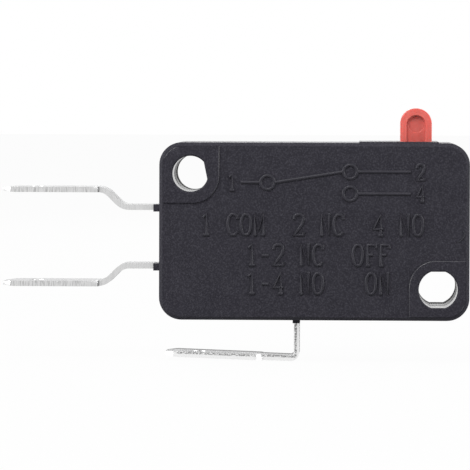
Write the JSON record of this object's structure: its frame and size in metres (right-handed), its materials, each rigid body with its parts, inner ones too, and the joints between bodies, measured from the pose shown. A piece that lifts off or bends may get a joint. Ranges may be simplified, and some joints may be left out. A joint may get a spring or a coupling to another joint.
{
  "type": "micro switch",
  "caption": "Miniature snap-action switch with a black two-part housing, red pin plunger, two joggled end tabs and a bent common tab below.",
  "frame": {"origin": "axis of the mounting hole near the plunger, at mid-thickness", "axes": "+X along the case away from the end tabs, +Z the way the plunger stands out, -Y out of the cover"},
  "size_m": [0.0421, 0.0104, 0.0229],
  "materials": {
    "housing": "fine spark-eroded matte",
    "plunger": "smooth moulded",
    "terminal": "tin-plated brass strip",
    "contact": "silver alloy rivet",
    "arm": "rolled copper alloy",
    "rocker": "pressed steel sheet",
    "spring": "drawn spring wire"
  },
  "bodies": {
    "housing": {"case": "housing", "cover": "housing", "nc_terminal": "terminal", "no_terminal": "terminal", "com_terminal": "terminal", "nc_contact": "contact", "no_contact": "contact", "rocker_pin": "rocker", "snap_spring": "spring"},
    "button": {"plunger": "plunger"},
    "rocking_lever": {"rocker": "rocker"},
    "contact_blade": {"contact_arm": "arm", "moving_contact": "contact"}
  },
  "joints": [
    {"name": "plunger_press", "type": "slide", "parent": "housing", "child": "button", "axis": [0, 0, -1], "range_m": [0, 0.0018], "stiffness_N_per_m": 900, "springref_m": -0.001},
    {"name": "rocker_pivot", "type": "hinge", "parent": "housing", "child": "rocking_lever", "pos_m": [-0.0152, 0, 0.0006], "axis": [0, 1, 0], "range_deg": [0, 8.2], "deforming": ["snap_spring"]},
    {"name": "arm_pivot", "type": "hinge", "parent": "housing", "child": "contact_blade", "pos_m": [-0.01279, 0, 0.00453], "axis": [0, -1, 0], "range_deg": [0, 6.6]}
  ],
  "couplings": [
    {"joint": "rocker_pivot", "follows": "plunger_press", "rad_per_m": 78.5},
    {"joint": "arm_pivot", "follows": "plunger_press", "rad_per_m": 63.4}
  ]
}
